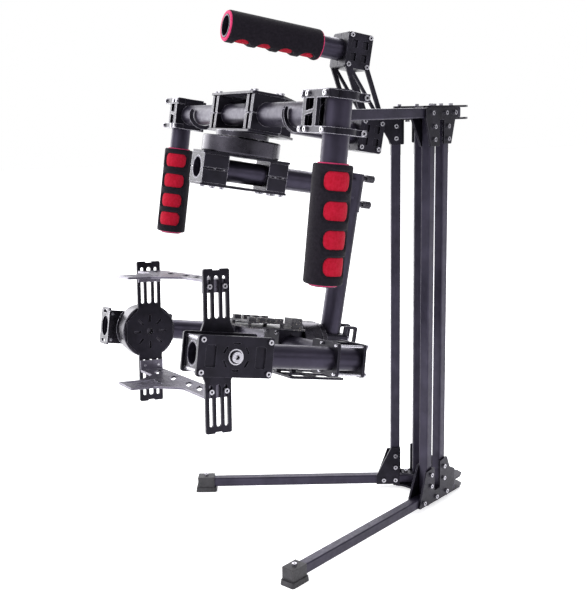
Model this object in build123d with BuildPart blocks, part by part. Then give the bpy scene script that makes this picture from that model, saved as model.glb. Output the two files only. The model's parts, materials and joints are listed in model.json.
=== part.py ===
from build123d import *
from math import cos, radians, sin
import os

os.makedirs("parts", exist_ok=True)

# A three-axis camera stabiliser hung by its handlebar on a V-shaped stand.
# Millimetres and degrees. +X is the user's right, +Y the rear, +Z up; the
# origin lies on the floor under the middle of the whole rig.

# ---------------------------------------------------------------- driving dimensions
APEX_Y = 233.4          # where the two bays of the stand meet
BAY_ANGLE = 24.3        # each bay opens by this much from straight ahead
BAR = 12.0              # square tube of the stand
BAR_WALL = 1.2
BAR_CORNER = 1.6
BAY_START = 31.0        # legs and arms start here, measured from the apex
LEG_END = 352.6
LEG_Z = 6.0             # underside of the legs
ARM_END = 311.5
ARM_TOP = 502.0
REAR_COLUMN = 62.7
FRONT_COLUMN = 92.4
SHEET = 2.5             # gussets, spreaders and most flat plates

TUBE_R = 12.5           # round tubes of the rig
TUBE_BORE_R = 11.0
CLAMP_R = 12.55         # bore of everything that grips a tube
RUNNING = 0.05          # radial play of shafts in their bores
SCREW_R = 1.5
SCREW_PLAY = 0.15

BAR_REACH = 301.7       # from the apex forward to the handlebar's axis
BAR_Y = APEX_Y - BAR_REACH
BAR_Z = 498.0
BAR_HALF = 213.5
HANDLE_X = 227.0
HANDLE_LEAN = 6.5
LEFT_LEAN = 8.8         # the left handle is clamped a little further over
YOKE_LEAN = 10.0
YAW_TURN = 2.9
ROLL_DROP = -260.0      # roll axis below the handlebar
ROLL_TURN = -6.0
PITCH_Y = -48.4         # pitch axis in front of the yaw axis
PITCH_TURN = 6.7

GRIP_R = 18.75
TOP_GRIP_R = 17.5
DROP_Y = 151.0          # drop tube behind the yaw axis
YAW_TUBE_Z = -64.5
CROSS_Y = 88.0          # rear cross tube of the roll ring
ARM_X = 140.0           # arm tubes of the roll ring
NEAR_PLATE_X = 114.1    # inner face of the cage's right-hand plate
FAR_PLATE_X = -90.5     # outer face of the cage's left-hand plate
CAGE_SHEET = 3.0
CAGE_HALF_WIDTH = 14.5
CAGE_HALF_HEIGHT = 85.0


# ---------------------------------------------------------------- frames
def leaning(angle):
    """A frame on the handlebar's axis whose Z leans to the rear."""
    lean = radians(angle)
    return Plane(origin=(0, BAR_Y, BAR_Z), x_dir=(1, 0, 0), z_dir=(0, sin(lean), cos(lean)))


def turned(frame, place, angles):
    """A frame that stands in another one, moved and turned."""
    return Plane(frame.location * Location(place, angles))


def placed(frame, plane):
    """A sketch plane given in a frame's own axes."""
    return Plane(frame.location * plane.location)


def side(frame, x):
    """Sketch plane across the frame's X: sketch x is Y, sketch y is Z."""
    return placed(frame, Plane.YZ.offset(x))


def front(frame, y):
    """Sketch plane that faces the frame's front: sketch x is X, sketch y is Z."""
    return placed(frame, Plane.XZ.offset(-y))


def back(frame, y):
    """Sketch plane that faces the frame's rear: sketch x is -X, sketch y is Z."""
    return placed(frame, Plane((0, y, 0), x_dir=(-1, 0, 0), z_dir=(0, 1, 0)))


def left(frame, x):
    """Sketch plane that faces the frame's -X: sketch x is -Y, sketch y is Z."""
    return placed(frame, Plane((x, 0, 0), x_dir=(0, -1, 0), z_dir=(-1, 0, 0)))


def under(frame, z):
    """Sketch plane that faces down: sketch x is X, sketch y is -Y."""
    return placed(frame, Plane((0, 0, z), x_dir=(1, 0, 0), z_dir=(0, 0, -1)))


def spots(frame, points):
    """Places on a frame, for holes and screws."""
    return [frame.location * Location((x, y, 0)) for x, y in points]


bay = Plane(
    origin=(0, APEX_Y, 0),
    x_dir=(sin(radians(BAY_ANGLE)), -cos(radians(BAY_ANGLE)), 0),
    z_dir=(0, 0, 1),
)
handles = leaning(HANDLE_LEAN)
left_handle = leaning(LEFT_LEAN)
handlebar_axis = Axis((0, BAR_Y, BAR_Z), (1, 0, 0))
yoke = leaning(YOKE_LEAN)
yaw = turned(yoke, (0, 0, 0), (0, 0, YAW_TURN))
roll = turned(yaw, (0, 0, ROLL_DROP), (0, ROLL_TURN, 0))
pitch = turned(roll, (0, PITCH_Y, 0), (PITCH_TURN, 0, 0))


# ---------------------------------------------------------------- shared shapes
def tube(frame, centre, length, outer=TUBE_R, inner=TUBE_BORE_R):
    """A round tube from the frame along its normal."""
    with BuildSketch(frame) as ring:
        with Locations(centre):
            Circle(outer)
            Circle(inner, mode=Mode.SUBTRACT)
    extrude(ring.sketch, amount=length)


def cut_round(frame, centres, radius, length):
    """Round holes from the frame along its normal."""
    with BuildSketch(frame) as holes:
        with Locations(*centres):
            Circle(radius)
    extrude(holes.sketch, amount=length, mode=Mode.SUBTRACT)


def panel(frame, points, thickness, corner, windows=()):
    """A flat plate with rounded corners and polygon windows."""
    with BuildSketch(frame) as outline:
        Polygon(*points, align=None)
        fillet(outline.vertices(), corner)
        for window in windows:
            Polygon(*window, align=None, mode=Mode.SUBTRACT)
    extrude(outline.sketch, amount=thickness)


def block(frame, centre, size, length, edge=1.0):
    """A solid block from the frame along its normal, its long edges broken."""
    with BuildSketch(frame) as section:
        with Locations(centre):
            Rectangle(*size)
        chamfer(section.vertices(), edge)
    extrude(section.sketch, amount=length)


def drill(rows):
    """Clearance holes for rows of screws."""
    for frame, points, radius, grip in rows:
        with Locations(*spots(frame, points)):
            Hole(radius + SCREW_PLAY, grip + 0.3)


def socket_screw(radius, grip):
    """One socket-head screw whose head stands on the XY plane."""
    with BuildPart() as screw:
        with BuildSketch() as head:
            Circle(1.8 * radius)
            RegularPolygon(0.9 * radius, 6, mode=Mode.SUBTRACT)
        extrude(amount=1.6 * radius)
        with BuildSketch() as shank:
            Circle(1.8 * radius)
        extrude(amount=0.6 * radius)
        with BuildSketch() as stem:
            Circle(radius)
        extrude(amount=-grip)
    return screw.part


def set_screws(rows):
    """Rows of socket-head screws, each on its own place."""
    for frame, points, radius, grip in rows:
        pattern = socket_screw(radius, grip)
        with Locations(*spots(frame, points)):
            add(pattern)


# ---------------------------------------------------------------- stand
TOP_GUSSET = [
    (40, 0), (110, 0), (110, -12), (99, -45), (81, -45), (81, -14),
    (71, -14), (71, -43), (55, -43), (46, -12), (40, -12),
]
TOP_INNER_GUSSET = [(86.4, 0), (118, 0), (118, -12), (98.4, -45), (86.4, -45)]
BOTTOM_GUSSET = [
    (118, 0), (102, 45), (84, 47), (84, 15), (71, 15), (71, 51),
    (55, 53), (48, 37), (36, 31), (36, 9), (44, 0),
]
BOTTOM_INNER_GUSSET = [(86.4, 51), (98.4, 51), (118, 12), (118, 0), (86.4, 0)]
TOP_GUSSET_BOLTS = [
    (97, -6), (68, -6), (48, -6), (REAR_COLUMN, -22), (REAR_COLUMN, -37),
    (FRONT_COLUMN, -22), (FRONT_COLUMN, -37),
]
TOP_INNER_BOLTS = [(108, -6), (92.4, -6), (FRONT_COLUMN, -22), (FRONT_COLUMN, -37)]
BOTTOM_GUSSET_BOLTS = [
    (FRONT_COLUMN, 24), (FRONT_COLUMN, 39), (REAR_COLUMN, 26), (REAR_COLUMN, 42),
    (108, 6), (80, 6), (56, 6),
]
BOTTOM_INNER_BOLTS = [(108, 6), (92.4, 6), (FRONT_COLUMN, 24), (FRONT_COLUMN, 40)]
OUTER_FACE = BAR / 2 + SHEET
SPREADER_BOLTS = [44.0, 66.0, 88.0]
MIDDLE_SPREADER_BOLTS = [44.0, 77.5]
FOOT_START = 336.0
FOOT_END = 358.0
FOOT_CENTRE = 347.0
CRADLE_SHEET = 3.0      # the cradle plates stand in the arms' middle planes
CRADLE_BOLTS = [(291, -6), (305, -6)]
CRADLE_GRIP = 11.0
STAND_GRIP = 5.0


def raised(points, z):
    """Points in a bay's upright plane, measured from height z."""
    return [(u, z + dz) for u, dz in points]


def behind(points, z):
    """The same points for a plane that faces the other way."""
    return [(-u, z + dz) for u, dz in points]


stand_rows = [
    (back(bay, OUTER_FACE), behind(TOP_GUSSET_BOLTS, ARM_TOP), SCREW_R, STAND_GRIP),
    (front(bay, -OUTER_FACE), raised(TOP_INNER_BOLTS, ARM_TOP), SCREW_R, STAND_GRIP),
    (back(bay, OUTER_FACE), behind(BOTTOM_GUSSET_BOLTS, LEG_Z), SCREW_R, STAND_GRIP),
    (front(bay, -OUTER_FACE), raised(BOTTOM_INNER_BOLTS, LEG_Z), SCREW_R, STAND_GRIP),
    (bay.offset(ARM_TOP + SHEET), [(u, 0) for u in SPREADER_BOLTS], SCREW_R, STAND_GRIP),
    (under(bay, LEG_Z - SHEET), [(u, 0) for u in SPREADER_BOLTS], SCREW_R, STAND_GRIP),
    (under(bay, ARM_TOP - BAR - SHEET), [(u, 0) for u in MIDDLE_SPREADER_BOLTS], SCREW_R, STAND_GRIP),
    (bay.offset(LEG_Z + BAR + SHEET), [(u, 0) for u in MIDDLE_SPREADER_BOLTS], SCREW_R, STAND_GRIP),
    (bay.offset(LEG_Z + BAR + 2), [(FOOT_CENTRE, 0)], SCREW_R, 6.0),
    (front(bay, -BAR / 2), raised(CRADLE_BOLTS, ARM_TOP), SCREW_R, CRADLE_GRIP),
]


def square_tube(frame, centre, length):
    """A thin-walled square tube along the frame's normal, open at both ends."""
    hollow = BAR - 2 * BAR_WALL
    with BuildSketch(frame) as section:
        with Locations(centre):
            RectangleRounded(BAR, BAR, BAR_CORNER)
            RectangleRounded(hollow, hollow, BAR_CORNER / 2, mode=Mode.SUBTRACT)
    extrude(section.sketch, amount=length)


def plan(u, out):
    """A place in the bay's plan, as world x and y measured from the apex."""
    turn = radians(BAY_ANGLE)
    return (u * sin(turn) + out * cos(turn), -u * cos(turn) + out * sin(turn))


def spreader(level, reach):
    """A V-shaped plate that ties the two bays together, hollowed towards the front."""
    edge = BAR / 2 - 0.2
    tip = plan(reach, edge)
    inner = plan(reach, -edge)
    shoulder = plan(18, edge)
    with BuildSketch(Plane((0, APEX_Y, level))) as outline:
        with BuildLine():
            Polyline((0, -6), (5, -6), shoulder, tip, inner)
            ThreePointArc(inner, (0, inner[1] + 15), (-inner[0], inner[1]))
            Polyline(
                (-inner[0], inner[1]), (-tip[0], tip[1]),
                (-shoulder[0], shoulder[1]), (-5, -6), (0, -6),
            )
        make_face()
    extrude(outline.sketch, amount=SHEET)


with BuildPart() as leg_right:
    square_tube(side(bay, BAY_START), (0, LEG_Z + BAR / 2), LEG_END - BAY_START)
    drill(stand_rows)

with BuildPart() as arm_right:
    square_tube(side(bay, BAY_START), (0, ARM_TOP - BAR / 2), ARM_END - BAY_START)
    drill(stand_rows)

with BuildPart() as columns_right:
    square_tube(
        bay.offset(LEG_Z + BAR + SHEET),
        (REAR_COLUMN, 0),
        ARM_TOP - LEG_Z - 2 * BAR - 2 * SHEET,
    )
    square_tube(bay.offset(LEG_Z + BAR), (FRONT_COLUMN, 0), ARM_TOP - LEG_Z - 2 * BAR)
    drill(stand_rows)

with BuildPart() as leg_left:
    mirror(leg_right.part, about=Plane.YZ)

with BuildPart() as arm_left:
    mirror(arm_right.part, about=Plane.YZ)

with BuildPart() as columns_left:
    mirror(columns_right.part, about=Plane.YZ)

with BuildPart() as gussets:
    panel(front(bay, OUTER_FACE), raised(TOP_GUSSET, ARM_TOP), SHEET, 1.5)
    panel(front(bay, -BAR / 2), raised(TOP_INNER_GUSSET, ARM_TOP), SHEET, 1.5)
    panel(front(bay, OUTER_FACE), raised(BOTTOM_GUSSET, LEG_Z), SHEET, 1.5)
    panel(front(bay, -BAR / 2), raised(BOTTOM_INNER_GUSSET, LEG_Z), SHEET, 1.5)
    drill(stand_rows)
    mirror(about=Plane.YZ)

with BuildPart() as spreader_holes:
    for frame, points, radius, grip in stand_rows[4:8]:
        with Locations(*spots(frame, points)):
            Cylinder(radius + SCREW_PLAY, 2 * grip)
    mirror(about=Plane.YZ)

with BuildPart() as spreaders:
    spreader(ARM_TOP, 95)
    spreader(ARM_TOP - BAR - SHEET, 83)
    spreader(LEG_Z + BAR, 83)
    spreader(LEG_Z - SHEET, 95)
    add(spreader_holes.part, mode=Mode.SUBTRACT)

with BuildPart() as feet:
    # a flared base under the leg's end, then a cap that wraps its sides, top and front
    with BuildSketch(bay) as base:
        with Locations((FOOT_CENTRE, 0)):
            RectangleRounded(28, 20, 3)
    extrude(base.sketch, amount=LEG_Z, taper=8)
    with BuildSketch(side(bay, FOOT_START)) as wrap:
        with Locations((0, (LEG_Z + BAR + 2) / 2 + 1)):
            Rectangle(16.4, LEG_Z + BAR)
    extrude(wrap.sketch, amount=FOOT_END - FOOT_START)
    with BuildSketch(side(bay, FOOT_START)) as leg_room:
        with Locations((0, LEG_Z + BAR / 2)):
            Rectangle(BAR + 0.1, BAR)
    extrude(leg_room.sketch, amount=LEG_END + 0.3 - FOOT_START, mode=Mode.SUBTRACT)
    drill(stand_rows)
    mirror(about=Plane.YZ)


CRADLE_EYE = BAR_REACH / cos(radians(BAY_ANGLE))
EYE_HALF_WIDTH = TUBE_R / cos(radians(BAY_ANGLE)) + 1.1
EYE_HALF_HEIGHT = TUBE_R + 0.4
CRADLE_BAND = 5.0
CRADLE_TIP = 6.0
TONGUE_START = 285.0
TONGUE_HEIGHT = 9.0     # fits inside the square tube

with BuildPart() as cradles:
    # hook plates with a tongue in each arm's end and an open eye for the handlebar
    with BuildSketch(front(bay, CRADLE_SHEET / 2)) as hook:
        with Locations((CRADLE_EYE, BAR_Z)):
            Ellipse(EYE_HALF_WIDTH + CRADLE_BAND, EYE_HALF_HEIGHT + CRADLE_BAND)
        with Locations((ARM_END - 9.5, BAR_Z)):
            Rectangle(20, 40, mode=Mode.SUBTRACT)
        with Locations((CRADLE_EYE, BAR_Z + CRADLE_TIP + 10)):
            Rectangle(60, 20, mode=Mode.SUBTRACT)
        with Locations((CRADLE_EYE + EYE_HALF_WIDTH + 0.6, BAR_Z + CRADLE_TIP)):
            Circle(2.4)
        with Locations(((TONGUE_START + CRADLE_EYE - 12) / 2, ARM_TOP - BAR / 2)):
            RectangleRounded(CRADLE_EYE - 12 - TONGUE_START, TONGUE_HEIGHT, 2)
        with Locations((CRADLE_EYE, BAR_Z)):
            Ellipse(EYE_HALF_WIDTH, EYE_HALF_HEIGHT, mode=Mode.SUBTRACT)
    extrude(hook.sketch, amount=CRADLE_SHEET)
    drill(stand_rows)
    mirror(about=Plane.YZ)

with BuildPart() as stand_bolts:
    set_screws(stand_rows)
    with BuildSketch(under(bay, LEG_Z - SHEET)) as glides:
        with Locations(*[(u, 0) for u in SPREADER_BOLTS]):
            Circle(1.8 * SCREW_R)
            Circle(SCREW_R, mode=Mode.SUBTRACT)
    extrude(glides.sketch, amount=LEG_Z - SHEET)
    mirror(about=Plane.YZ)


# ---------------------------------------------------------------- handlebar
CLAMP_TOP = 13.0
CLAMP_LOW = -12.5
RING_HIGH = 7.5
RING_LOW = 6.0
RING_R = 18.5
INNER_PLATE_X = 193.5
OUTER_PLATE_X = 211.0
FRAME_START_X = 188.0
FRAME_END_X = 246.0
FRAME_BAR = 6.0         # width of the uprights in the clamp's front frame
FRAME_DEPTH = 4.0
CLAMP_FRONT = -20.0
CLAMP_BACK = 16.0
LUG_BACK = 30.0
HANDLE_TOP = 22.0
HANDLE_LENGTH = 180.0
FOAM_TOP = -44.0
FOAM_LENGTH = 113.0
YOKE_X = 54.0
YOKE_HALF = 10.0
YOKE_Y = 18.0
YOKE_TOP = 20.0
YOKE_LOW = -18.0
BOLT_Y = 15.3
TRUSS_X = 17.0
LOWER_CLAMP = (153.0, 0.0)
UPPER_CLAMP = (121.0, 91.5)
TRUSS_HALF_Y = 16.0
TRUSS_HALF_Z = 20.0
TOP_HANDLE_START = -37.0
TOP_HANDLE_END = 135.0
TOP_GRIP_END = 78.0
BOOM_START = 16.0
BOOM_END = 168.0
BOOM_BLOCK = (35.0, 50.0)

yoke_bolts = [(x, y) for x in (-60, -48, 48, 60) for y in (-BOLT_Y, BOLT_Y)]
truss_bolts = [
    (y + dy, z + dz)
    for y, z, dy_half, dz_half in ((*LOWER_CLAMP, 11.5, 15), (*UPPER_CLAMP, 12, 16.5))
    for dy in (-dy_half, dy_half)
    for dz in (-dz_half, dz_half)
]
clamp_front_bolts = [(x, z) for x in (192.5, 204.5, 240) for z in (16.75, -15.5)]
clamp_lug_bolts = [(25, 16.75), (25, -15.5)]
handlebar_rows = [
    (yoke.offset(YOKE_TOP + SHEET), yoke_bolts, SCREW_R, 42.5),
    (yoke.offset(YOKE_TOP + SHEET), [(-14, 45), (14, 45)], SCREW_R, 42.5),
    (side(yoke, TRUSS_X + SHEET), truss_bolts, SCREW_R, 14.0),
    (left(yoke, -TRUSS_X - SHEET), [(-y, z) for y, z in truss_bolts], SCREW_R, 14.0),
    (front(handles, CLAMP_FRONT), clamp_front_bolts, SCREW_R, 10.0),
    (front(left_handle, CLAMP_FRONT), [(-x, z) for x, z in clamp_front_bolts], SCREW_R, 10.0),
    (side(handles, HANDLE_X + 5), clamp_lug_bolts, SCREW_R, 10.0),
    (left(left_handle, -HANDLE_X - 5), [(-y, z) for y, z in clamp_lug_bolts], SCREW_R, 10.0),
]


def set_on_left(right_piece):
    """The right-hand piece mirrored, and leaned over as far as the left handle."""
    add(right_piece.mirror(Plane.YZ).rotate(handlebar_axis, HANDLE_LEAN - LEFT_LEAN))


with BuildPart() as crossbar:
    tube(side(handles, -BAR_HALF), (0, 0), 2 * BAR_HALF)

with BuildPart() as handle_right:
    tube(handles.offset(HANDLE_TOP), (HANDLE_X, 0), -HANDLE_LENGTH)

with BuildPart() as handle_left:
    set_on_left(handle_right.part)

with BuildPart() as grip_right:
    tube(handles.offset(FOAM_TOP), (HANDLE_X, 0), -FOAM_LENGTH, GRIP_R, CLAMP_R)
    fillet(grip_right.edges().filter_by(GeomType.CIRCLE).group_by(SortBy.RADIUS)[-1], 3)

with BuildPart() as grip_left:
    set_on_left(grip_right.part)


def ring_plate(z, thickness):
    """A split ring around the handle that reaches inwards over the handlebar."""
    with BuildSketch(handles.offset(z)) as outline:
        with Locations((HANDLE_X, 0)):
            Circle(RING_R)
        with Locations(((FRAME_START_X + FRAME_END_X) / 2, CLAMP_FRONT + 5)):
            RectangleRounded(FRAME_END_X - FRAME_START_X, 10, 1.5)
        with Locations(((INNER_PLATE_X + HANDLE_X) / 2, (CLAMP_FRONT + CLAMP_BACK) / 2)):
            Rectangle(HANDLE_X - INNER_PLATE_X, CLAMP_BACK - CLAMP_FRONT)
        with Locations((HANDLE_X, LUG_BACK - 9)):
            RectangleRounded(10, 18, 2)
        with Locations((HANDLE_X, 0)):
            Circle(CLAMP_R, mode=Mode.SUBTRACT)
        with Locations((HANDLE_X, LUG_BACK - 9)):
            Rectangle(1.2, 20, mode=Mode.SUBTRACT)
        with Locations((203, -2)):
            RectangleRounded(8, 16, 2, mode=Mode.SUBTRACT)
    extrude(outline.sketch, amount=thickness)


with BuildPart() as handle_clamp_right:
    ring_plate(CLAMP_TOP, RING_HIGH)
    ring_plate(CLAMP_LOW, -RING_LOW)
    back_of_frame = CLAMP_FRONT + FRAME_DEPTH
    upright = [
        (back_of_frame, CLAMP_LOW), (CLAMP_BACK, CLAMP_LOW),
        (CLAMP_BACK, CLAMP_TOP), (back_of_frame, CLAMP_TOP),
    ]
    for x in (INNER_PLATE_X, OUTER_PLATE_X):
        panel(side(handles, x), upright, SHEET, 0.5)
        cut_round(side(handles, x), [(0, 0)], CLAMP_R, SHEET)
    # the front frame: two uprights and a slanted strut between them
    with BuildSketch(front(handles, back_of_frame)) as frame_bars:
        with Locations((INNER_PLATE_X + FRAME_BAR / 2, 0.25), (219.5, 0.25)):
            Rectangle(FRAME_BAR, CLAMP_TOP - CLAMP_LOW)
        Polygon((199, -2.5), (217, 0), (217, 3.5), (199, 1), align=None)
    extrude(frame_bars.sketch, amount=FRAME_DEPTH)
    drill(handlebar_rows)

with BuildPart() as handle_clamp_left:
    set_on_left(handle_clamp_right.part)

with BuildPart() as yoke_clamps:
    # each clamp is an upper and a lower half around the handlebar
    for x in (-YOKE_X, YOKE_X):
        for low, high in ((0.4, YOKE_TOP), (YOKE_LOW, -0.4)):
            half_size = (2 * YOKE_Y, high - low)
            block(side(yoke, x - YOKE_HALF), (0, (low + high) / 2), half_size, 2 * YOKE_HALF, 0.8)
    cut_round(side(yoke, -YOKE_X - YOKE_HALF), [(0, 0)], CLAMP_R, 2 * (YOKE_X + YOKE_HALF))
    with BuildSketch(front(yoke, -YOKE_Y)) as front_grooves:
        with Locations((-YOKE_X, 0), (YOKE_X, 0)):
            Rectangle(8, 3 * YOKE_TOP)
    extrude(front_grooves.sketch, amount=-3, mode=Mode.SUBTRACT)
    # the block behind them grips the boom
    block(
        back(yoke, BOOM_BLOCK[0]),
        (0, (YOKE_TOP + YOKE_LOW) / 2),
        (38, YOKE_TOP - YOKE_LOW),
        BOOM_BLOCK[1] - BOOM_BLOCK[0],
    )
    cut_round(back(yoke, BOOM_BLOCK[0]), [(0, 0)], CLAMP_R, BOOM_BLOCK[1] - BOOM_BLOCK[0])
    drill(handlebar_rows)

LATTICE = [(66, -20), (66, 14), (18, 54), (-18, 54), (-66, 14), (-66, -20)]
LATTICE_WINDOWS = [
    [(40, -14), (22, 10), (4, -14)],
    [(-40, -14), (-4, -14), (-22, 10)],
    [(17, 14), (0, -9), (-17, 14)],
    [(41, 14), (41, -8), (26, 14)],
    [(-41, 14), (-26, 14), (-41, -8)],
    [(46, 18), (24, 18), (24, 36)],
    [(-46, 18), (-24, 36), (-24, 18)],
    [(19, 18), (-19, 18), (-19, 32), (19, 32)],
]

with BuildPart() as yoke_plates:
    panel(yoke.offset(YOKE_TOP), LATTICE, SHEET, 3, LATTICE_WINDOWS)
    panel(yoke.offset(YOKE_LOW - SHEET), LATTICE, SHEET, 3, LATTICE_WINDOWS)
    drill(handlebar_rows)

with BuildPart() as boom:
    tube(back(yoke, BOOM_START), (0, 0), BOOM_END - BOOM_START)

with BuildPart() as truss_clamps:
    # two pairs of jaws that grip the boom and the top handle between the truss plates
    for y, z in (LOWER_CLAMP, UPPER_CLAMP):
        for start in (0.4, -TRUSS_X):
            block(
                side(yoke, start),
                (y, z),
                (2 * TRUSS_HALF_Y, 2 * TRUSS_HALF_Z),
                TRUSS_X - 0.4,
            )
        cut_round(back(yoke, y - TRUSS_HALF_Y), [(0, z)], CLAMP_R, 2 * TRUSS_HALF_Y)
    drill(handlebar_rows)


def truss_plate(x):
    """One side plate: two windowed squares joined by slanted struts."""
    low_y, low_z = LOWER_CLAMP
    high_y, high_z = UPPER_CLAMP
    top = low_z + TRUSS_HALF_Z - 3
    bottom = high_z - TRUSS_HALF_Z + 3
    with BuildSketch(side(yoke, x)) as outline:
        for y, z in (LOWER_CLAMP, UPPER_CLAMP):
            with Locations((y, z)):
                RectangleRounded(2 * TRUSS_HALF_Y, 2 * TRUSS_HALF_Z, 3)
        for shift in (-TRUSS_HALF_Y + 3, TRUSS_HALF_Y - 3):
            Polygon(
                (low_y + shift - 3, top), (low_y + shift + 3, top),
                (high_y + shift + 3, bottom), (high_y + shift - 3, bottom),
                align=None,
            )
        Polygon(
            (low_y + 8, top), (low_y + 13, top),
            (high_y - 8, bottom), (high_y - 13, bottom),
            align=None,
        )
        for y, z in (LOWER_CLAMP, UPPER_CLAMP):
            with Locations((y, z)):
                with GridLocations(14, 15, 2, 2):
                    RectangleRounded(7.5, 9, 1.5, mode=Mode.SUBTRACT)
    extrude(outline.sketch, amount=SHEET)


with BuildPart() as truss_plates:
    truss_plate(TRUSS_X)
    truss_plate(-TRUSS_X - SHEET)
    drill(handlebar_rows)

with BuildPart() as top_handle:
    tube(back(yoke, TOP_HANDLE_START), (0, UPPER_CLAMP[1]), TOP_HANDLE_END - TOP_HANDLE_START)

with BuildPart() as top_grip:
    tube(
        back(yoke, TOP_HANDLE_START),
        (0, UPPER_CLAMP[1]),
        TOP_GRIP_END - TOP_HANDLE_START,
        TOP_GRIP_R,
        CLAMP_R,
    )
    fillet(top_grip.edges().filter_by(GeomType.CIRCLE).group_by(SortBy.RADIUS)[-1], 2.5)
    # four finger grooves under the grip
    with BuildSketch(side(yoke, -TOP_GRIP_R - 1)) as grooves:
        with Locations(*[(-17 + 26.6 * n, UPPER_CLAMP[1] - TOP_GRIP_R - 7) for n in range(4)]):
            Circle(9.5)
    extrude(grooves.sketch, amount=2 * TOP_GRIP_R + 2, mode=Mode.SUBTRACT)

with BuildPart() as handlebar_bolts:
    set_screws(handlebar_rows)


# ---------------------------------------------------------------- yaw arm
BASE_TOP = YOKE_LOW - SHEET
BASE_LOW = BASE_TOP - 5.5
BELL_TOP = BASE_LOW - 1.0
BELL_LOW = -45.5
BELL_R = 44.0
YAW_SHAFT_R = 6.0
YAW_PLATE_LOW = BELL_LOW - SHEET
YAW_BOTTOM = -81.0
YAW_CLAMPS = ((-50.0, -20.0), (30.0, 54.0))
YAW_HALF = 18.0
YAW_TUBE_START = -50.0
YAW_TUBE_END = 132.0
SLEEVE_R = 14.0
SLEEVE_TOP = -46.0
SLEEVE_LOW = -92.0
SOCKET_START = 115.0
KNOB_HEIGHTS = (-50.5, -82.0)
KNOB_STEM_R = 2.4
yaw_bolts_y = [-35, -24, 34, 40, 50]
yaw_rows = [
    (under(yaw, YAW_BOTTOM - SHEET), [(x, -y) for x in (-15, 15) for y in yaw_bolts_y], SCREW_R, 37.5),
]

with BuildPart() as yaw_motor_base:
    with BuildSketch(yoke.offset(BASE_TOP)) as disc:
        Circle(30)
    extrude(disc.sketch, amount=BASE_LOW - BASE_TOP)
    with BuildSketch(yoke.offset(BASE_LOW)) as shaft:
        Circle(YAW_SHAFT_R)
    extrude(shaft.sketch, amount=BELL_LOW + 1 - BASE_LOW)

with BuildPart() as yaw_motor_bell:
    with BuildSketch(yaw.offset(BELL_TOP)) as bell:
        Circle(BELL_R)
    extrude(bell.sketch, amount=BELL_LOW - BELL_TOP)
    fillet(yaw_motor_bell.edges().filter_by(GeomType.CIRCLE), 2)
    cut_round(yaw.offset(BELL_TOP), [(0, 0)], YAW_SHAFT_R + RUNNING, BELL_LOW - BELL_TOP)
    # a ring of cooling windows under the rim
    with BuildSketch(yaw.offset(BELL_TOP)) as vents:
        with PolarLocations(30, 12):
            SlotOverall(14, 5)
    extrude(vents.sketch, amount=-4, mode=Mode.SUBTRACT)

with BuildPart() as yaw_arm_tube:
    tube(back(yaw, YAW_TUBE_START), (0, YAW_TUBE_Z), YAW_TUBE_END - YAW_TUBE_START)

with BuildPart() as yaw_clamps:
    for start, end in YAW_CLAMPS:
        for low, high in ((YAW_BOTTOM, YAW_TUBE_Z - 0.4), (YAW_TUBE_Z + 0.4, YAW_PLATE_LOW)):
            block(
                back(yaw, start),
                (0, (low + high) / 2),
                (2 * YAW_HALF, high - low),
                end - start,
                0.8,
            )
    cut_round(back(yaw, YAW_TUBE_START), [(0, YAW_TUBE_Z)], CLAMP_R, 110)
    drill(yaw_rows)


def tie_plate(z):
    """A long plate along the yaw arm with a round seat under the motor."""
    with BuildSketch(yaw.offset(z)) as outline:
        with Locations((0, (YAW_CLAMPS[0][0] + YAW_CLAMPS[1][1]) / 2 + 1)):
            RectangleRounded(2 * YAW_HALF, 107, 3)
        Circle(24)
        Circle(9, mode=Mode.SUBTRACT)
        with PolarLocations(16, 4, start_angle=45):
            Circle(3.5, mode=Mode.SUBTRACT)
    extrude(outline.sketch, amount=SHEET)


with BuildPart() as yaw_tie_plates:
    tie_plate(YAW_PLATE_LOW)
    tie_plate(YAW_BOTTOM - SHEET)
    drill(yaw_rows)

with BuildPart() as height_clamp:
    # a sleeve around the drop tube, a socket for the yaw tube, and two threaded bosses
    with BuildSketch(yaw.offset(SLEEVE_LOW)) as sleeve:
        with Locations((0, DROP_Y)):
            Circle(SLEEVE_R)
    extrude(sleeve.sketch, amount=SLEEVE_TOP - SLEEVE_LOW)
    with BuildSketch(back(yaw, SOCKET_START)) as socket:
        with Locations((0, YAW_TUBE_Z)):
            RectangleRounded(30, 2 * SLEEVE_R, 5)
    extrude(socket.sketch, amount=DROP_Y - 3 - SOCKET_START)
    with BuildSketch(back(yaw, DROP_Y + TUBE_R + 1)) as bosses:
        with Locations(*[(0, z) for z in KNOB_HEIGHTS]):
            Circle(3.4)
    extrude(bosses.sketch, amount=2)
    cut_round(yaw.offset(SLEEVE_LOW - 1), [(0, DROP_Y)], TUBE_R + RUNNING, SLEEVE_TOP - SLEEVE_LOW + 2)
    cut_round(back(yaw, SOCKET_START), [(0, YAW_TUBE_Z)], CLAMP_R, YAW_TUBE_END + 0.5 - SOCKET_START)
    cut_round(back(yaw, DROP_Y + 5), [(0, z) for z in KNOB_HEIGHTS], KNOB_STEM_R + RUNNING, 16)

with BuildPart() as yaw_bolts:
    set_screws(yaw_rows)


def thumbscrew(z):
    """A knurled thumbscrew whose tip stops just short of the drop tube."""
    tip = DROP_Y + TUBE_R + 0.4
    knob = DROP_Y + TUBE_R + 6.0
    with BuildPart() as knob_screw:
        with BuildSketch(back(yaw, tip)) as stem:
            with Locations((0, z)):
                Circle(KNOB_STEM_R)
        extrude(stem.sketch, amount=knob - tip)
        with BuildSketch(back(yaw, knob)) as head:
            with Locations((0, z)):
                Circle(4.5)
                with PolarLocations(4.8, 12):
                    Circle(0.7, mode=Mode.SUBTRACT)
        extrude(head.sketch, amount=11)
    return knob_screw


thumbscrew_upper = thumbscrew(KNOB_HEIGHTS[0])
thumbscrew_lower = thumbscrew(KNOB_HEIGHTS[1])


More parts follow.
